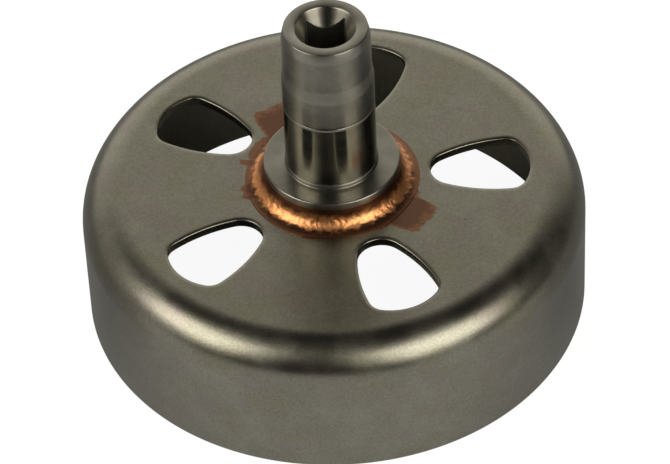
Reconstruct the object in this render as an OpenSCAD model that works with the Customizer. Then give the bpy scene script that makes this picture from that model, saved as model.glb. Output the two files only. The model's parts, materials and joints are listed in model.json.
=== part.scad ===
// Clutch drum of a brush cutter: a drawn steel cup with windows in its web,
// a turned drive hub with a square socket, and the copper fillet that joins them.
// The open rim stands on Z = 0 and the hub points up along +Z.

/* [Cup] */
// Diameter of the friction face inside the cup
friction_d = 80; // [76:0.5:84]
// Thickness of the drawn sheet
sheet_t = 1.6; // [1.4:0.1:1.8]
// Height from the open rim to the outside of the web
cup_h = 24.6; // [22:0.2:28]
// Outside radius of the drawn corner
corner_r = 6.8; // [6:0.1:7.4]
// Bevel on both edges of the trimmed rim
rim_bevel = 0.3; // [0.1:0.05:0.5]

/* [Windows] */
// Number of windows round the web
window_n = 5; // [3:1:5]
// Azimuth of the first window's centre line
window_turn = 3.2; // [0:0.2:72]
// Distance from the drum's axis to the centre of the round inner end
inner_x = 20; // [19:0.1:21]
// Radius of the round inner end
inner_r = 3.8; // [3.4:0.1:4.2]
// Distance from the drum's axis to the centres of the outer corners
outer_x = 29; // [28.5:0.1:29.5]
// Distance from the centre line to the centres of the outer corners
outer_y = 3.2; // [2.8:0.1:3.6]
// Radius of the outer corners
outer_r = 2.7; // [2.4:0.1:3]
// Radius of the bowed sides
side_r = 25; // [20:1:40]
// Radius of the bowed outer end
end_r = 8.5; // [7.5:0.5:12]

/* [Hub flange] */
// Diameter of the flange that sits on the web
flange_d = 22.4; // [21:0.1:24]
// Height of the flange above the web
flange_h = 4.6; // [4:0.1:6]
// Bevel on the flange's upper edge
flange_bevel = 0.25; // [0.1:0.05:0.5]
// Diameter of the spigot that goes through the web
spigot_d = 16; // [14:0.5:18]
// How far the spigot stands out inside the cup
spigot_proud = 0.5; // [0.2:0.1:1]
// Radial gap round the spigot, filled by the braze in use
spigot_gap = 0.05; // [0.02:0.01:0.1]

/* [Hub shaft] */
// Diameter of the ground bearing seat and of the turned length above it
seat_d = 15; // [14.9:0.1:15.2]
// Diameter of the unground foot below the seat
foot_d = 15.4; // [15.3:0.1:15.6]
// Height of the foot above the flange
foot_h = 0.8; // [0.8:0.1:1.2]
// Fillet between the foot and the flange
foot_fillet = 0.4; // [0.2:0.1:0.4]
// Length of the ground bearing seat
seat_len = 12; // [10:0.5:14]
// Depth of the fine groove where the grinding ends
groove_depth = 0.1; // [0.05:0.01:0.2]
// Length of the turned part between the seat and the taper
mid_len = 5.6; // [4:0.2:7]
// Length of the taper between the two diameters
taper_len = 2.1; // [1:0.1:3]
// Diameter of the upper journal
upper_d = 14.4; // [14:0.1:14.6]
// Length of the upper journal
upper_len = 6.2; // [5:0.2:8]
// Length of the lead-in at the end of the shaft
lead_len = 1.7; // [1:0.1:2.5]
// Diameter of the end face
end_d = 13.6; // [13:0.1:14]

/* [Socket] */
// Width across the flats of the square socket
socket_af = 6.4; // [6:0.1:6.8]
// Corner radius of the square socket
socket_corner = 0.3; // [0.1:0.1:0.5]
// Depth of the square socket from the end face
socket_depth = 25; // [18:1:30]
// Mouth diameter of the countersink
mouth_d = 10; // [9.5:0.1:11]
// Included angle of the countersink
mouth_angle = 60; // [50:1:90]
// Diameter of the relief bore below the socket
relief_d = 9.4; // [9.2:0.1:10]
// Included angle of the drill point at the end of the relief bore
drill_angle = 118; // [90:1:140]

/* [Braze] */
// Radius of the concave copper fillet round the flange
braze_r = 3; // [2:0.1:3.8]
// Thickness of the fillet at its thin edges
braze_lip = 0.12; // [0.08:0.02:0.2]

/* [Hidden] */
round_fn = 144;
arc_step = 6;
slack = 1;

friction_r = friction_d / 2;
cup_r = friction_r + sheet_t;
web_z = cup_h - sheet_t;
window_pitch = 360 / window_n;

flange_r = flange_d / 2;
flange_z = cup_h + flange_h;
seat_z = flange_z + foot_h;
foot_ledge = foot_d / 2 - seat_d / 2;
seat_end_z = seat_z + seat_len;
mid_end_z = seat_end_z + mid_len;
upper_z = mid_end_z + taper_len;
lead_z = upper_z + upper_len;
end_z = lead_z + lead_len;
spigot_z = web_z - spigot_proud;

// Centre of the circle of radius big_r that touches two smaller circles from
// outside, centred at p and q with radii p_r and q_r, on the right of p to q
function touching_centre(p, p_r, q, q_r, big_r) =
    let(
        gap = norm(q - p),
        along = (q - p) / gap,
        p_leg = big_r - p_r,
        q_leg = big_r - q_r,
        run = (p_leg * p_leg - q_leg * q_leg + gap * gap) / (2 * gap),
        rise = sqrt(p_leg * p_leg - run * run)
    )
    p + along * run + [along.y, -along.x] * rise;

// Direction from a big circle's centre through a small one's, where they touch
function touch_angle(centre, small) = atan2(small.y - centre.y, small.x - centre.x);

// Points along an arc, from one angle up to another
function arc(centre, r, from, to) =
    let(steps = max(1, ceil(abs(to - from) / arc_step)))
    [for (i = [0:steps]) centre + r * [cos(from + (to - from) * i / steps),
                                       sin(from + (to - from) * i / steps)]];

// Half of a window's outline, from its outer end over one side to its inner end
function window_half() =
    let(
        corner = [outer_x, outer_y],
        inner = [inner_x, 0],
        side = touching_centre(inner, inner_r, corner, outer_r, side_r),
        end_x = outer_x - sqrt(pow(end_r - outer_r, 2) - outer_y * outer_y),
        end_touch = touch_angle([end_x, 0], corner),
        corner_touch = touch_angle(side, corner),
        inner_touch = touch_angle(side, inner)
    )
    concat(
        arc([end_x, 0], end_r, 0, end_touch),
        arc(corner, outer_r, end_touch + arc_step, corner_touch - arc_step),
        arc(side, side_r, corner_touch, inner_touch),
        arc(inner, inner_r, inner_touch + arc_step, 180)
    );

// A window: a rounded triangle with its narrow end towards the drum's axis
module window_outline() {
    half = window_half();
    last = len(half) - 1;
    polygon(concat(half, [for (i = [last - 1:-1:1]) [half[i].x, -half[i].y]]));
}

// Section of a cup of radius r and height h with its corner rounded by round_r
module cup_section(r, h, round_r) {
    square([r, h - round_r]);
    square([r - round_r, h]);
    translate([r - round_r, h - round_r]) circle(r = round_r, $fn = round_fn);
}

// Triangle that bevels a square edge at the given corner, towards dx and dy
module bevel(corner, dx, dy) {
    polygon([
        corner - [dx, dy],
        corner + [dx, -dy],
        corner + [-dx, dy]
    ]);
}

module drum_shell() {
    color([0.46, 0.45, 0.41])
    difference() {
        rotate_extrude($fn = round_fn)
        difference() {
            cup_section(cup_r, cup_h, corner_r);
            translate([0, -slack])
            cup_section(friction_r, web_z + slack, corner_r - sheet_t);
            square([spigot_d / 2 + spigot_gap, cup_h + slack]);
            bevel([cup_r, 0], -rim_bevel, rim_bevel);
            bevel([friction_r, 0], rim_bevel, rim_bevel);
        }
        for (i = [0:window_n - 1])
            rotate(window_turn + i * window_pitch)
            translate([0, 0, web_z - slack])
            linear_extrude(sheet_t + 2 * slack) window_outline();
    }
}

// Half section of the hub, turned from bar, from its spigot up to its end face
module hub_section() {
    difference() {
        polygon([
            [0, spigot_z],
            [spigot_d / 2, spigot_z],
            [spigot_d / 2, cup_h],
            [flange_r, cup_h],
            [flange_r, flange_z - flange_bevel],
            [flange_r - flange_bevel, flange_z],
            [foot_d / 2 + foot_fillet, flange_z],
            [foot_d / 2, flange_z + foot_fillet],
            [foot_d / 2, seat_z - foot_ledge],
            [seat_d / 2, seat_z],
            [seat_d / 2, seat_end_z],
            [seat_d / 2 - groove_depth, seat_end_z + groove_depth],
            [seat_d / 2, seat_end_z + 2 * groove_depth],
            [seat_d / 2, mid_end_z],
            [upper_d / 2, upper_z],
            [upper_d / 2, lead_z],
            [end_d / 2, end_z],
            [0, end_z]
        ]);
        translate([foot_d / 2 + foot_fillet, flange_z + foot_fillet])
        circle(r = foot_fillet, $fn = round_fn);
    }
}

// Section of the square socket, with the broach's small corner radius
module socket_section() {
    flat = socket_af - 2 * socket_corner;
    square([socket_af, flat], center = true);
    square([flat, socket_af], center = true);
    for (x = [-1, 1], y = [-1, 1])
        translate([x, y] * flat / 2) circle(r = socket_corner, $fn = round_fn / 4);
}

module drive_hub() {
    socket_z = end_z - socket_depth;
    mouth_h = mouth_d / 2 / tan(mouth_angle / 2);
    point_h = relief_d / 2 / tan(drill_angle / 2);
    over = slack * tan(mouth_angle / 2);
    color([0.42, 0.41, 0.38])
    difference() {
        rotate_extrude($fn = round_fn) hub_section();
        translate([0, 0, socket_z])
        linear_extrude(socket_depth + slack) socket_section();
        translate([0, 0, end_z - mouth_h])
        cylinder(h = mouth_h + slack, r1 = 0, r2 = mouth_d / 2 + over, $fn = round_fn);
        translate([0, 0, spigot_z - slack])
        cylinder(h = socket_z - spigot_z + slack, d = relief_d, $fn = round_fn);
        translate([0, 0, socket_z])
        cylinder(h = point_h, d1 = relief_d, d2 = 0, $fn = round_fn);
    }
}

// The copper that ran round the flange: a concave ring between flange and web
module braze_fillet() {
    reach = braze_r + braze_lip;
    color([0.66, 0.35, 0.19])
    rotate_extrude($fn = round_fn)
    translate([flange_r, cup_h])
    difference() {
        square(reach);
        translate([reach, reach]) circle(r = braze_r, $fn = round_fn);
    }
}

drum_shell();
drive_hub();
braze_fillet();
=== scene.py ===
import json
import math
import bmesh
import bpy
from mathutils import Matrix, Vector, noise


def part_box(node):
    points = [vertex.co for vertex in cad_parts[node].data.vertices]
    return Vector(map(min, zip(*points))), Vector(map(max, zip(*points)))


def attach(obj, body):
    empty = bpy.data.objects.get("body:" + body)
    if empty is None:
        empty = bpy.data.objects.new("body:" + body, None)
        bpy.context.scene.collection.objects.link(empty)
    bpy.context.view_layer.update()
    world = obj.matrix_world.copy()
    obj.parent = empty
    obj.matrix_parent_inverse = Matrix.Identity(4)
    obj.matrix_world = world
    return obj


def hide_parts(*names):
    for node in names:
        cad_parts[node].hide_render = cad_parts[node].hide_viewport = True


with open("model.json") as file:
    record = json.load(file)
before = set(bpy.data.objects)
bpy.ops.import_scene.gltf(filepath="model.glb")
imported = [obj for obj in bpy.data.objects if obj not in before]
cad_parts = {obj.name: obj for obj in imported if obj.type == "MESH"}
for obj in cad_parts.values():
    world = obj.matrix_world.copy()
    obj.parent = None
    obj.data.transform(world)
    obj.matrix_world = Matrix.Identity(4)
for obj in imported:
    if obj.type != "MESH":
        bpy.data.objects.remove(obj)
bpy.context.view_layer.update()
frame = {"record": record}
mm = 0.001
mounts = {m["name"]: m for m in frame["record"]["mounts"]}
bpy.context.scene.view_settings.view_transform = "Standard"


def mountRadius(name):
    return mounts[name]["dims"]["r_mm"]


def nodeTop(name):
    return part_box(name)[1][2] / mm


# The camera: a long lens that looks down at the drum and leans a little

cameraSettings = {
    "place": (0, -488.64, 489.22),    # mm
    "aim": (0, 0, 12.1),              # mm, on the drum's axis
    "lens": 220.36,                   # mm, on a 36 mm sensor
    "roll": -2.739,                   # degrees
}


def addCamera(settings):
    camera = bpy.data.objects.new("camera", bpy.data.cameras.new("camera"))
    bpy.context.collection.objects.link(camera)
    camera.data.lens = settings["lens"]
    camera.data.sensor_width = 36
    camera.data.clip_start = 0.01
    camera.data.clip_end = 20
    place = Vector(settings["place"]) * mm
    turn = (Vector(settings["aim"]) * mm - place).to_track_quat("-Z", "Y").to_matrix()
    turn = turn @ Matrix.Rotation(math.radians(settings["roll"]), 3, "Z")
    camera.matrix_world = Matrix.Translation(place) @ turn.to_4x4()
    bpy.context.scene.camera = camera


addCamera(cameraSettings)
print("camera placed")


# Mesh tools: a piece is built from loops of points in mm, joined by quads

def polar(radius, degrees):
    a = math.radians(degrees)
    return Vector((radius * math.cos(a), radius * math.sin(a)))


def raised(points, height):
    return [Vector((p.x, p.y, height)) for p in points]


def ring(radius, height, angles):
    return raised([polar(radius, a) for a in angles], height)


def arcProfile(centre, radius, start, end, steps):
    marks = [start + (end - start) * i / steps for i in range(steps + 1)]
    return [Vector(centre) + polar(radius, a) for a in marks]


def skin(bm, loops, closed=False):
    rows = [[bm.verts.new(p * mm) for p in loop] for loop in loops]
    pairs = list(zip(rows, rows[1:]))
    if closed:
        pairs.append((rows[-1], rows[0]))
    for low, high in pairs:
        for i in range(len(low)):
            j = (i + 1) % len(low)
            bm.faces.new((low[i], low[j], high[j], high[i]))


def finishPiece(name, bm, material, node, sharp=40):
    bmesh.ops.remove_doubles(bm, verts=bm.verts, dist=0.0005 * mm)
    bmesh.ops.recalc_face_normals(bm, faces=bm.faces)
    for face in bm.faces:
        face.smooth = True
    for edge in bm.edges:
        if len(edge.link_faces) == 2:
            edge.smooth = edge.calc_face_angle() < math.radians(sharp)
    mesh = bpy.data.meshes.new(name)
    bm.to_mesh(mesh)
    bm.free()
    mesh.materials.append(material)
    piece = bpy.data.objects.new(name, mesh)
    bpy.context.collection.objects.link(piece)
    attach(piece, "root")
    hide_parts(node)
    print(name, "has", len(mesh.polygons), "faces")
    return piece


# Node tools: textures are sized in mm, from the frame's own coordinates

def addNode(tree, kind, inputs=None, **settings):
    node = tree.nodes.new(kind)
    for key, value in settings.items():
        setattr(node, key, value)
    for key, value in (inputs or {}).items():
        socket = node.inputs[key]
        if isinstance(value, bpy.types.NodeSocket):
            tree.links.new(value, socket)
        else:
            socket.default_value = value
    return node


def calc(tree, operation, a, b=0.0, clamp=False):
    node = addNode(tree, "ShaderNodeMath", {0: a, 1: b}, operation=operation, use_clamp=clamp)
    return node.outputs[0]


def fade(tree, value, low, high, start=0.0, end=1.0):
    inputs = {"Value": value, "From Min": low, "From Max": high, "To Min": start, "To Max": end}
    return addNode(tree, "ShaderNodeMapRange", inputs, interpolation_type="SMOOTHSTEP").outputs[0]


def blend(tree, share, a, b):
    inputs = {"Factor": share, 6: a, 7: b}
    return addNode(tree, "ShaderNodeMix", inputs, data_type="RGBA").outputs[2]


def grain(tree, coords, size, detail=2.0, roughness=0.5):
    inputs = {"Vector": coords, "Scale": 1 / size, "Detail": detail, "Roughness": roughness}
    return addNode(tree, "ShaderNodeTexNoise", inputs).outputs["Fac"]


def squeeze(tree, coords, scale):
    return addNode(tree, "ShaderNodeVectorMath", {0: coords, 1: scale}, operation="MULTIPLY").outputs[0]


def bump(tree, height, strength, distance, normal=None):
    inputs = {"Height": height, "Strength": strength, "Distance": distance * mm}
    if normal is not None:
        inputs["Normal"] = normal
    return addNode(tree, "ShaderNodeBump", inputs).outputs[0]


def startMaterial(name):
    material = bpy.data.materials.new(name)
    material.use_nodes = True
    tree = material.node_tree
    tree.nodes.clear()
    place = addNode(tree, "ShaderNodeTexCoord").outputs["Object"]
    coords = squeeze(tree, place, (1 / mm, 1 / mm, 1 / mm))
    parts = addNode(tree, "ShaderNodeSeparateXYZ", {0: coords}).outputs
    flat = addNode(tree, "ShaderNodeCombineXYZ", {0: parts[0], 1: parts[1]}).outputs[0]
    radius = addNode(tree, "ShaderNodeVectorMath", {0: flat}, operation="LENGTH").outputs["Value"]
    heading = addNode(tree, "ShaderNodeVectorMath", {0: flat}, operation="NORMALIZE").outputs[0]
    return material, tree, {"coords": coords, "z": parts[2], "radius": radius, "heading": heading}


def closeMaterial(tree, inputs):
    shader = addNode(tree, "ShaderNodeBsdfPrincipled", inputs)
    addNode(tree, "ShaderNodeOutputMaterial", {"Surface": shader.outputs[0]})


# The copper film: where the braze ran out over the web, ragged, with an orange rim

filmFinish = {
    "middle": (0.105, 0.046, 0.026, 1),
    "rim": (0.170, 0.078, 0.042, 1),
    "reach": 14.1,                      # mm from the axis
    "lobes": [                          # heading in degrees, half width, extra reach in mm
        (118, 17, 6.2),
        (141, 20, 1.4),
        (162, 3, 2.0),
        (190, 9, 1.1),
        (250, 14, 0.6),
        (304, 10, 0.6),
        (323, 16, 4.9),
        (339, 7, 1.3),
    ],
    "ragged": 0.3,
}


def filmDepth(tree, at, finish):
    wander = grain(tree, squeeze(tree, at["heading"], (3.5, 3.5, 0)), 1.0, 2.0)
    edge = fade(tree, wander, 0.3, 0.7, finish["reach"] - 0.35, finish["reach"] + 0.35)
    for heading, half, reach in finish["lobes"]:
        toward = polar(1, heading)
        nearness = addNode(tree, "ShaderNodeVectorMath", {0: at["heading"], 1: (toward.x, toward.y, 0)},
                           operation="DOT_PRODUCT").outputs["Value"]
        lobe = fade(tree, nearness, math.cos(math.radians(half)),
                    math.cos(math.radians(half * 0.45)), 0.0, reach)
        edge = calc(tree, "ADD", edge, lobe)
    ragged = fade(tree, grain(tree, at["coords"], 0.8, 4.0, 0.6), 0.3, 0.7, -finish["ragged"],
                  finish["ragged"])
    return calc(tree, "SUBTRACT", calc(tree, "ADD", edge, ragged), at["radius"])


def filmColour(tree, at, depth, finish):
    patchy = fade(tree, grain(tree, at["coords"], 1.6, 3.0, 0.6), 0.35, 0.65, -0.5, 0.5)
    share = fade(tree, calc(tree, "ADD", depth, patchy), 0.5, 2.0)
    return blend(tree, share, finish["rim"], finish["middle"])


# The drawn sheet: grey oxide with a faint mottle, fine pits, and more grain at the drawn corner

sheetFinish = {
    "pale": (0.200, 0.192, 0.156, 1),
    "dark": (0.172, 0.164, 0.131, 1),
    "olive": (0.176, 0.165, 0.118, 1),
    "rosy": (0.182, 0.160, 0.142, 1),
    "pit": (0.050, 0.046, 0.040, 1),
    "roughness": 0.295,
    "grain": 0.28,                      # mm
    "grainDepth": 0.007,
    "cornerGrain": 0.020,
}


def drawnSteel(finish):
    material, tree, at = startMaterial("drawnSteel")
    coords = at["coords"]
    clouds = fade(tree, grain(tree, coords, 7.0, 4.0, 0.6), 0.35, 0.68)
    colour = blend(tree, clouds, finish["dark"], finish["pale"])
    tint = fade(tree, grain(tree, squeeze(tree, coords, (1, 1, 1.6)), 8.0, 3.0, 0.6), 0.48, 0.66, 0.0, 0.7)
    colour = blend(tree, tint, colour, finish["olive"])
    shifted = addNode(tree, "ShaderNodeVectorMath", {0: coords, 1: (90, 40, 20)}, operation="ADD").outputs[0]
    tint = fade(tree, grain(tree, shifted, 9.0, 3.0, 0.6), 0.50, 0.66, 0.0, 0.7)
    colour = blend(tree, tint, colour, finish["rosy"])
    speckle = fade(tree, grain(tree, coords, finish["grain"] * 1.3, 2.0, 0.6), 0.3, 0.7, 0.88, 1.12)
    colour = addNode(tree, "ShaderNodeMix", {"Factor": 1.0, 6: colour, 7: speckle},
                     data_type="RGBA", blend_type="MULTIPLY").outputs[2]

    depth = filmDepth(tree, at, filmFinish)
    onTop = fade(tree, at["z"], nodeTop("drum_shell") - 0.9, nodeTop("drum_shell") - 0.5)
    film = calc(tree, "MULTIPLY", fade(tree, depth, 0.0, 0.35, 0.0, 0.92), onTop)
    colour = blend(tree, film, colour, filmColour(tree, at, depth, filmFinish))

    cells = addNode(tree, "ShaderNodeTexVoronoi", {"Vector": coords, "Scale": 1 / 3.6, "Randomness": 1.0})
    spot = fade(tree, cells.outputs["Distance"], 0.025, 0.055, 1.0, 0.0)
    chance = addNode(tree, "ShaderNodeSeparateColor", {0: cells.outputs["Color"]}).outputs[0]
    pits = calc(tree, "MULTIPLY", spot, fade(tree, chance, 0.6, 0.85))
    colour = blend(tree, pits, colour, finish["pit"])

    atCorner = fade(tree, at["radius"], 34.6, 36.2)
    roughness = calc(tree, "ADD", finish["roughness"], fade(tree, clouds, 0.0, 1.0, -0.02, 0.03))
    roughness = calc(tree, "ADD", roughness, calc(tree, "MULTIPLY", film, 0.03))
    fine = grain(tree, coords, finish["grain"], 3.0, 0.6)
    depthMm = fade(tree, atCorner, 0.0, 1.0, finish["grainDepth"] * mm, finish["cornerGrain"] * mm)
    normal = bump(tree, grain(tree, coords, 14.0, 1.0), 0.35, 0.30)
    normal = addNode(tree, "ShaderNodeBump", {"Height": fine, "Strength": 1.0, "Distance": depthMm,
                                              "Normal": normal}).outputs[0]
    normal = bump(tree, pits, 0.6, -0.05, normal)
    closeMaterial(tree, {"Base Color": colour, "Metallic": 1.0, "Roughness": roughness, "Normal": normal})
    return material


# The turned hub: bright ground seat, duller turned lengths, brown where the copper ran up

hubFinish = {
    "steel": (0.215, 0.205, 0.175, 1),
    "dull": (0.175, 0.166, 0.138, 1),
    "stain": (0.095, 0.065, 0.042, 1),
    "roughness": 0.30,
    "seatRoughness": 0.17,
}


def turnedSteel(finish):
    material, tree, at = startMaterial("turnedSteel")
    coords = at["coords"]
    seat = mounts["bearing_seat"]
    seatLow = seat["pos_m"][2] / mm - seat["dims"]["length_mm"] / 2
    seatHigh = seatLow + hub["seatLength"]
    onSeat = calc(tree, "MULTIPLY", fade(tree, at["z"], seatLow - 0.1, seatLow + 0.1),
                  fade(tree, at["z"], seatHigh - 0.1, seatHigh + 0.1, 1.0, 0.0))
    lines = grain(tree, squeeze(tree, coords, (0.25, 0.25, 9)), 1.0, 4.0, 0.6)
    clouds = fade(tree, grain(tree, coords, 3.0, 3.0), 0.3, 0.7)
    colour = blend(tree, clouds, finish["dull"], finish["steel"])
    low = fade(tree, at["z"], nodeTop("drum_shell") + 2.8, nodeTop("drum_shell") + 4.2, 1.0, 0.0)
    colour = blend(tree, low, colour, finish["stain"])
    roughness = blend(tree, onSeat, (finish["roughness"],) * 3 + (1,), (finish["seatRoughness"],) * 3 + (1,))
    roughness = calc(tree, "ADD", roughness, fade(tree, lines, 0.3, 0.7, -0.03, 0.05))
    normal = bump(tree, lines, 0.25, 0.01)
    normal = bump(tree, grain(tree, coords, 0.3, 3.0, 0.6), 0.2, 0.008, normal)
    tangent = addNode(tree, "ShaderNodeTangent", direction_type="RADIAL", axis="Z").outputs[0]
    closeMaterial(tree, {"Base Color": colour, "Metallic": 1.0, "Roughness": roughness, "Normal": normal,
                         "Anisotropic": 0.75, "Anisotropic Rotation": 0.25, "Tangent": tangent})
    return material


# The copper that ran round the flange: bright grains in the hollow, a painted dark reflection in brown up
# its upper edge, and the brown film towards its thin outer edge

copperFinish = {
    "bright": (0.50, 0.215, 0.085, 1),
    "paintedDarkReflection": (0.120, 0.048, 0.022, 1),
    "roughness": 0.34,
    "grain": 0.20,                      # mm
    "grainDepth": 0.030,
}


def copperBraze(finish):
    material, tree, at = startMaterial("copperBraze")
    coords = at["coords"]
    clouds = fade(tree, grain(tree, coords, 1.4, 3.0, 0.6), 0.3, 0.7, -0.45, 0.45)
    outward = calc(tree, "ADD", at["radius"], clouds)
    upward = calc(tree, "ADD", at["z"], clouds)
    # the upper part of the fillet is painted brown as a painted dark reflection, not the copper's own colour
    high = fade(tree, upward, nodeTop("drum_shell") + 1.3, nodeTop("drum_shell") + 2.5)
    colour = blend(tree, high, finish["bright"], finish["paintedDarkReflection"])
    depth = filmDepth(tree, at, filmFinish)
    thin = fade(tree, outward, hub["flangeRadius"] + 1.5, hub["flangeRadius"] + 2.2)
    colour = blend(tree, thin, colour, filmColour(tree, at, depth, filmFinish))
    normal = bump(tree, grain(tree, coords, 1.1, 3.0), 0.6, 0.06)
    coarse = fade(tree, thin, 0.0, 1.0, finish["grainDepth"] * mm, finish["grainDepth"] * mm * 0.3)
    normal = addNode(tree, "ShaderNodeBump", {"Height": grain(tree, coords, finish["grain"], 2.0,
                                                              0.6), "Strength": 1.0,
                                              "Distance": coarse, "Normal": normal}).outputs[0]
    closeMaterial(tree, {"Base Color": colour, "Metallic": 1.0, "Roughness": finish["roughness"],
                         "Normal": normal})
    return material


# The drum shell: one drawn sheet, five windows in its web

shell = {
    "sheet": 1.6,
    "corner": 6.8,            # outside radius of the drawn corner
    "rimBevel": 0.3,
    "windows": 5,
    "firstHeading": 3.2,      # degrees
    "innerEnd": (20, 3.8),    # distance from the axis, radius
    "outerCorner": (29, 3.2, 2.7),
    "sideRadius": 25,
    "endRadius": 8.5,
    "rollWidth": 0.75,        # the sheet's rounded pull-in round each window
    "rollDepth": 0.24,
    "burr": 0.06,
    "hubHole": 8.05,
    "outerSteps": 72,
    "innerSteps": 24,
    "sideSteps": 30,
    "webRings": (0, 0.04, 0.14, 0.28, 0.42, 0.56, 0.7, 0.82, 0.92, 0.97, 1),
}


def touchingCentre(p, pRadius, q, qRadius, bigRadius):
    gap = (q - p).length
    along = (q - p) / gap
    pLeg = bigRadius - pRadius
    qLeg = bigRadius - qRadius
    run = (pLeg ** 2 - qLeg ** 2 + gap ** 2) / (2 * gap)
    rise = math.sqrt(pLeg ** 2 - run ** 2)
    return p + along * run + Vector((along.y, -along.x)) * rise


def headingOf(vector):
    return math.degrees(math.atan2(vector.y, vector.x))


def windowMarks(shape):
    innerX, innerRadius = shape["innerEnd"]
    cornerX, cornerY, cornerRadius = shape["outerCorner"]
    inner = Vector((innerX, 0))
    corner = Vector((cornerX, cornerY))
    side = touchingCentre(inner, innerRadius, corner, cornerRadius, shape["sideRadius"])
    end = Vector((cornerX - math.sqrt((shape["endRadius"] - cornerRadius) ** 2 - cornerY ** 2), 0))
    endTouch = headingOf(corner - end)
    cornerTouch = headingOf(corner - side)
    innerTouch = headingOf(inner - side)
    arcs = [
        (end, shape["endRadius"], 0, endTouch),
        (corner, cornerRadius, endTouch, cornerTouch),
        (side, shape["sideRadius"], cornerTouch, innerTouch),
        (inner, innerRadius, innerTouch, 180),
    ]
    marks = []
    for centre, radius, start, stop in arcs:
        steps = max(2, round(radius * (stop - start) / 2))
        for i in range(steps + 1):
            a = start + (stop - start) * i / steps
            marks.append((centre, radius, a))
            marks.append((Vector((centre.x, -centre.y)), radius, -a))
    return marks


def markPoint(mark, grow):
    centre, radius, heading = mark
    return centre + polar(radius + grow, heading)


def sectorEdge(shape, outer):
    half = 180 / shape["windows"]
    hole = shape["hubHole"]
    points = []
    for i in range(shape["outerSteps"]):
        points.append(polar(outer, -half + 2 * half * i / shape["outerSteps"]))
    for i in range(shape["sideSteps"]):
        points.append(polar(outer + (hole - outer) * i / shape["sideSteps"], half))
    for i in range(shape["innerSteps"]):
        points.append(polar(hole, half - 2 * half * i / shape["innerSteps"]))
    for i in range(shape["sideSteps"]):
        points.append(polar(hole + (outer - hole) * i / shape["sideSteps"], -half))
    return points


def turned(points, degrees):
    spin = Matrix.Rotation(math.radians(degrees), 2)
    return [spin @ p for p in points]


def buildShell(shape):
    faceRadius = mountRadius("friction_face")
    cupRadius = faceRadius + shape["sheet"]
    top = nodeTop("drum_shell")
    under = top - shape["sheet"]
    flat = cupRadius - shape["corner"]
    cornerZ = top - shape["corner"]
    bevel = shape["rimBevel"]
    bm = bmesh.new()

    marks = windowMarks(shape)
    middle = Vector((shape["innerEnd"][0] + shape["outerCorner"][0], 0)) / 2
    edge = sectorEdge(shape, flat)
    grown = [markPoint(m, shape["rollWidth"]) - middle for m in marks]
    sides = [g.normalized() for g in grown]
    chosen = []
    for p in edge:
        toward = (p - middle).normalized()
        chosen.append(marks[max(range(len(marks)), key=lambda i: sides[i].dot(toward))])
    rollSteps = 7
    for k in range(shape["windows"]):
        heading = shape["firstHeading"] + k * 360 / shape["windows"]
        loops = []
        lip = [markPoint(m, shape["rollWidth"]) for m in chosen]
        for share in shape["webRings"]:
            loops.append(raised(turned([p.lerp(q, share) for p, q in zip(edge, lip)], heading), top))
        for i in range(1, rollSteps + 1):
            a = math.radians(90 * i / rollSteps)
            row = [markPoint(m, shape["rollWidth"] * (1 - math.sin(a))) for m in chosen]
            loops.append(raised(turned(row, heading), top - shape["rollDepth"] * (1 - math.cos(a))))
        for grow, height in ((0, under + 0.7), (0.05, under + shape["burr"]), (0.05 + shape["burr"], under)):
            loops.append(raised(turned([markPoint(m, grow) for m in chosen], heading), height))
        below = [markPoint(m, 0.05 + shape["burr"]) for m in chosen]
        for share in (0.04, 0.2, 0.5, 0.8, 0.97, 1):
            loops.append(raised(turned([q.lerp(p, share) for p, q in zip(edge, below)], heading), under))
        skin(bm, loops)

    start = shape["firstHeading"] - 180 / shape["windows"]
    around = [start + i * 360 / (shape["outerSteps"] * shape["windows"])
              for i in range(shape["outerSteps"] * shape["windows"])]
    profile = arcProfile((flat, cornerZ), shape["corner"], 90, 0, 26)
    for height in (cornerZ - 0.4, 12, 6, 1.2, bevel + 0.15, bevel):
        profile.append(Vector((cupRadius, height)))
    profile += [Vector((cupRadius - bevel * 0.35, bevel * 0.3)), Vector((cupRadius - bevel, 0))]
    profile += [Vector((faceRadius + bevel, 0)), Vector((faceRadius + bevel * 0.35, bevel * 0.3))]
    for height in (bevel, bevel + 0.15, 1.2, 6, 12, cornerZ - 0.4):
        profile.append(Vector((faceRadius, height)))
    profile += arcProfile((flat, cornerZ), shape["corner"] - shape["sheet"], 0, 90, 20)
    skin(bm, [ring(p.x, p.y, around) for p in profile])

    aroundHole = [start + i * 360 / (shape["innerSteps"] * shape["windows"])
                  for i in range(shape["innerSteps"] * shape["windows"])]
    skin(bm, [ring(shape["hubHole"], z, aroundHole) for z in (top, under)])
    return finishPiece("drumShell", bm, drawnSteel(sheetFinish), "drum_shell")


# The drive hub: a turned profile, and a square socket that meets the countersink in four scallops

hub = {
    "flangeRadius": 11.2,
    "flangeBevel": 0.25,
    "spigotRadius": 8,
    "spigotProud": 2.1,       # below the top of the web
    "footRadius": 7.66,
    "footFillet": 0.15,
    "seatLength": 12,
    "groove": 0.1,
    "midLength": 5.6,
    "taperLength": 2.1,
    "leadLength": 1.7,
    "endRadius": 6.8,
    "socket": 6.4,
    "socketCorner": 0.3,
    "socketDepth": 25,
    "mouthRadius": 5,
    "mouthAngle": 30,         # half of the included angle
    "reliefRadius": 4.7,
    "drillAngle": 59,
}


def squareRadius(shape, degrees):
    half = shape["socket"] / 2
    corner = shape["socketCorner"]
    a = math.radians((degrees + 45) % 90 - 45)
    across = half / math.cos(a)
    if abs(across * math.sin(a)) <= half - corner:
        return across
    middle = (half - corner) * math.sqrt(2)
    off = math.radians(45) - abs(a)
    return middle * math.cos(off) + math.sqrt(corner ** 2 - (middle * math.sin(off)) ** 2)


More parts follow.
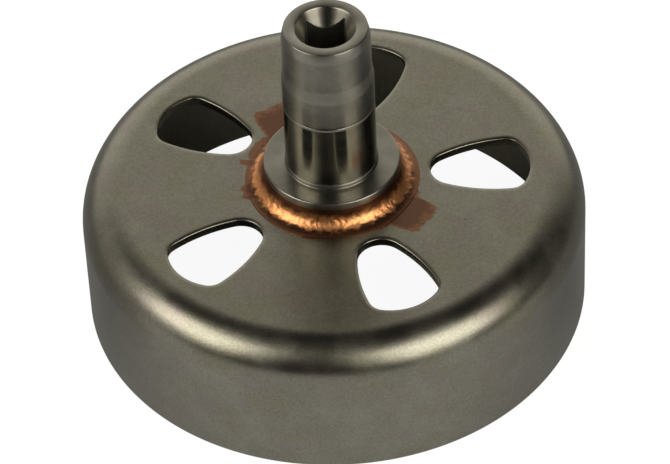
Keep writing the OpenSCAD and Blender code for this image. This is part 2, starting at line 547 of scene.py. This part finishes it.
def buildHub(shape):
    top = nodeTop("drive_hub")
    web = nodeTop("drum_shell")
    seat = mounts["bearing_seat"]
    seatRadius = seat["dims"]["r_mm"]
    seatLow = seat["pos_m"][2] / mm - seat["dims"]["length_mm"] / 2
    seatHigh = seatLow + shape["seatLength"]
    journalRadius = mountRadius("upper_journal")
    flangeTop = seatLow - 0.8
    groove = shape["groove"]
    foot = shape["footRadius"]
    fillet = shape["footFillet"]
    ledge = foot - seatRadius
    bevel = shape["flangeBevel"]
    relief = shape["reliefRadius"]
    floor = top - shape["socketDepth"]
    bottom = web - shape["spigotProud"]
    midHigh = seatHigh + shape["midLength"]
    taperHigh = midHigh + shape["taperLength"]
    leadLow = top - shape["leadLength"]
    soft = 0.07               # every turned edge is broken by about this much

    profile = [
        (relief + soft, bottom),
        (shape["spigotRadius"] - 0.3, bottom),
        (shape["spigotRadius"], bottom + 0.3),
    ]
    profile += [
        (shape["spigotRadius"], web),
        (shape["flangeRadius"] - soft, web),
        (shape["flangeRadius"], web + soft),
    ]
    profile += [(shape["flangeRadius"], web + 0.8), (shape["flangeRadius"], flangeTop - bevel - 0.3)]
    profile += [tuple(p)
                for p in arcProfile((shape["flangeRadius"] - bevel, flangeTop - bevel), bevel, 0, 90, 4)]
    profile += [(shape["flangeRadius"] - bevel - 0.2, flangeTop), (foot + fillet + 0.2, flangeTop)]
    profile += [tuple(p) for p in arcProfile((foot + fillet, flangeTop + fillet), fillet, 270, 180, 6)]
    profile += [
        (foot, seatLow - ledge - 0.06),
        (foot - 0.03, seatLow - ledge),
        (seatRadius + 0.03, seatLow - 0.03),
    ]
    profile += [(seatRadius, seatLow + 0.05), (seatRadius, seatLow + 0.5), (seatRadius, seatHigh - 0.4)]
    profile += [(seatRadius, seatHigh - 0.03), (seatRadius - groove, seatHigh + groove)]
    profile += [
        (seatRadius, seatHigh + 2 * groove + 0.03),
        (seatRadius, seatHigh + 0.6),
        (seatRadius, midHigh - 0.35),
    ]
    profile += [(seatRadius - 0.01, midHigh - 0.05), (seatRadius - 0.03, midHigh + 0.1)]
    profile += [
        (journalRadius + 0.02, taperHigh - 0.1),
        (journalRadius, taperHigh + 0.1),
        (journalRadius, taperHigh + 0.5),
    ]
    profile += [
        (journalRadius, leadLow - 0.35),
        (journalRadius - 0.01, leadLow - 0.05),
        (journalRadius - 0.04, leadLow + 0.1),
    ]
    profile += [(shape["endRadius"] + 0.03, top - 0.12), (shape["endRadius"] - 0.03, top - 0.03)]
    profile += [(shape["endRadius"] - 0.12, top), (shape["mouthRadius"] + 0.1, top)]

    angles = [i * 2.0 for i in range(180)]
    for quarter in range(4):
        angles += [quarter * 90 + 45 + off for off in (-3.5, -2.5, -1.8, -0.5, 0.5, 1.8, 2.5, 3.5)]
    angles = sorted(set(angles))
    loops = [ring(r, z, angles) for r, z in profile]
    slope = 1 / math.tan(math.radians(shape["mouthAngle"]))
    drill = 1 / math.tan(math.radians(shape["drillAngle"]))
    square = [squareRadius(shape, a) for a in angles]

    def shaped(radiusOf, heightOf):
        out = []
        for a, s in zip(angles, square):
            p = polar(radiusOf(s), a)
            out.append(Vector((p.x, p.y, heightOf(s))))
        return out

    mouth = shape["mouthRadius"]
    loops.append(ring(mouth - 0.02, top - 0.06, angles))
    for share in (0.1, 0.35, 0.65, 0.9):
        loops.append(shaped(lambda s: mouth + (s - mouth) * share,
                            lambda s: top - (mouth - s) * share * slope))
    loops.append(shaped(lambda s: s + 0.03, lambda s: top - (mouth - s - 0.03) * slope))
    loops.append(shaped(lambda s: s, lambda s: top - (mouth - s) * slope - 0.05))
    for depth in (5, 12, 20):
        loops.append(shaped(lambda s: s, lambda s: top - depth))
    loops.append(shaped(lambda s: s, lambda s: floor + (relief - s) * drill))
    for z in (floor, floor - 3, bottom + 0.5, bottom + soft):
        loops.append(ring(relief, z, angles))
    bm = bmesh.new()
    skin(bm, loops, closed=True)
    return finishPiece("driveHub", bm, turnedSteel(hubFinish), "drive_hub")


# The braze: a concave ring of copper with a lumpy skin and an uneven foot

braze = {
    "reach": 3.12,
    "concave": 3.0,
    "lump": 0.05,
    "uneven": 0.22,
    "steps": 26,
    "around": 480,
}


def buildBraze(shape):
    inner = hub["flangeRadius"]
    web = nodeTop("drum_shell")
    sunk = 0.03
    angles = [i * 360 / shape["around"] for i in range(shape["around"])]
    loops = []
    for i in range(shape["steps"] + 1):
        share = i / shape["steps"]
        loop = []
        for a in angles:
            spread = 1 + shape["uneven"] * 0.3 * noise.noise(Vector((*(polar(2.2, a)), 0.5)))
            climb = 1 + shape["uneven"] * 0.25 * noise.noise(Vector((*(polar(2.5, a)), 7.5)))
            bend = math.radians(180 + 90 * share)
            out = shape["reach"] + shape["concave"] * math.cos(bend)
            up = shape["reach"] + shape["concave"] * math.sin(bend)
            p = polar(1, a)
            out *= spread
            up *= climb
            spot = Vector((p.x * (inner + out), p.y * (inner + out), web + up))
            lump = noise.fractal(spot * 1.6, 0.8, 2.0, 3) * shape["lump"] * math.sin(math.pi * share)
            spot += Vector((p.x, p.y, 1)) * lump * 0.7
            spot.z = max(spot.z, web + 0.01)
            loop.append(spot)
        loops.append(loop)
    last = loops[-1]
    loops.append([Vector((p.x, p.y, web - sunk)) for p in last])
    loops.append(ring(inner - 0.05, web - sunk, angles))
    loops.append([Vector((*polar(inner - 0.05, a), p.z)) for a, p in zip(angles, loops[0])])
    bm = bmesh.new()
    skin(bm, loops, closed=True)
    return finishPiece("brazeFillet", bm, copperBraze(copperFinish), "braze_fillet", 60)


buildShell(shell)
buildHub(hub)
buildBraze(braze)
print("pieces built")


# The stage: a pale floor that stays white to the camera and in the metal, and keeps a faint shadow

stageSettings = {
    "glow": 0.93,
    "frontInMetal": 0.69,     # how bright the metal sees the floor in front of the drum
    "sideInMetal": 0.16,
    "drumRadius": 41,         # mm; under the drum the metal sees the floor as dark as it is there
    "shadowShare": (0.13, 0.13, 0.125, 1),
    "floor": (0.8, 0.8, 0.78, 1),
}


def addFloor(settings):
    material = bpy.data.materials.new("paleFloor")
    material.use_nodes = True
    tree = material.node_tree
    tree.nodes.clear()
    path = addNode(tree, "ShaderNodeLightPath").outputs
    place = addNode(tree, "ShaderNodeTexCoord").outputs["Object"]
    out = addNode(tree, "ShaderNodeVectorMath", {0: place}, operation="LENGTH").outputs["Value"]
    outside = fade(tree, out, (settings["drumRadius"] - 1) * mm, settings["drumRadius"] * mm)
    inMetal = calc(tree, "MULTIPLY", calc(tree, "MAXIMUM", path["Is Glossy Ray"],
                                          path["Is Transmission Ray"]), outside)
    seen = calc(tree, "MAXIMUM", path["Is Camera Ray"], inMetal)
    depth = addNode(tree, "ShaderNodeSeparateXYZ", {0: place}).outputs[1]
    inMetalLevel = fade(tree, depth, -50 * mm, -5 * mm, settings["frontInMetal"], settings["sideInMetal"])
    level = fade(tree, path["Is Camera Ray"], 0.0, 1.0, inMetalLevel, settings["glow"])
    glow = addNode(tree, "ShaderNodeEmission", {"Color": (1, 1, 1, 1), "Strength": level})
    faint = addNode(tree, "ShaderNodeBsdfDiffuse", {"Color": settings["shadowShare"]})
    both = addNode(tree, "ShaderNodeAddShader", {0: glow.outputs[0], 1: faint.outputs[0]})
    plain = addNode(tree, "ShaderNodeBsdfDiffuse", {"Color": settings["floor"]})
    mix = addNode(tree, "ShaderNodeMixShader", {0: seen, 1: plain.outputs[0], 2: both.outputs[0]})
    addNode(tree, "ShaderNodeOutputMaterial", {"Surface": mix.outputs[0]})
    bm = bmesh.new()
    bmesh.ops.create_grid(bm, x_segments=1, y_segments=1, size=6)
    mesh = bpy.data.meshes.new("floor")
    bm.to_mesh(mesh)
    bm.free()
    mesh.materials.append(material)
    floor = bpy.data.objects.new("floor", mesh)
    floor.location.z = -0.00002
    bpy.context.collection.objects.link(floor)


addFloor(stageSettings)
print("floor laid")


# The light: two soft boxes beside the camera, a dim surround with a pale backdrop behind the drum

surround = {
    "level": 0.009,
    "tint": (1.0, 0.97, 0.88, 1),
    "patches": [
        # heading and elevation in degrees, half width, softness, level
        (91, 3, 42, 20, 1.34),
        (345, 7, 25, 28, 0.12),
        (173, 18, 26, 22, 0.5),
        (203, 40, 27, 4, 0.78),
        (313, 36, 21, 15, 1.19),
    ],
}
softBoxes = [
    # name, heading, elevation, distance, width, height, level
    ("left", 201.8, 40.2, 1.2, 0.83, 0.67, 4.39),
    ("right", 315.1, 37.5, 1.2, 0.85, 0.73, 4.36),
]


def skyward(heading, elevation):
    flat = polar(math.cos(math.radians(elevation)), heading)
    return Vector((flat.x, flat.y, math.sin(math.radians(elevation))))


def addWorld(settings):
    world = bpy.data.worlds.new("surround")
    bpy.context.scene.world = world
    world.use_nodes = True
    tree = world.node_tree
    tree.nodes.clear()
    path = addNode(tree, "ShaderNodeLightPath").outputs
    toward = addNode(tree, "ShaderNodeTexCoord").outputs["Generated"]
    level = settings["level"]
    for heading, elevation, half, soft, strength in settings["patches"]:
        middle = skyward(heading, elevation)
        nearness = addNode(tree, "ShaderNodeVectorMath", {0: toward, 1: middle},
                           operation="DOT_PRODUCT").outputs["Value"]
        patch = fade(tree, nearness, math.cos(math.radians(half + soft)),
                     math.cos(math.radians(max(half - soft, 0))),
                     0.0, strength)
        level = calc(tree, "ADD", level, patch)
    around = addNode(tree, "ShaderNodeBackground", {"Color": settings["tint"], "Strength": level})
    white = addNode(tree, "ShaderNodeBackground", {"Color": (1, 1, 1, 1), "Strength": 1.0})
    mix = addNode(tree, "ShaderNodeMixShader", {0: path["Is Camera Ray"], 1: around.outputs[0],
                                                2: white.outputs[0]})
    addNode(tree, "ShaderNodeOutputWorld", {"Surface": mix.outputs[0]})


def addSoftBox(name, heading, elevation, distance, width, height, level):
    lamp = bpy.data.lights.new(name, "AREA")
    lamp.shape = "RECTANGLE"
    lamp.size = width
    lamp.size_y = height
    lamp.energy = level * math.pi * width * height
    lamp.color = surround["tint"][:3]
    place = skyward(heading, elevation) * distance
    box = bpy.data.objects.new(name, lamp)
    box.matrix_world = Matrix.Translation(place) @ place.to_track_quat("Z", "Y").to_matrix().to_4x4()
    bpy.context.collection.objects.link(box)


addWorld(surround)
for box in softBoxes:
    addSoftBox(*box)
print("lights set")
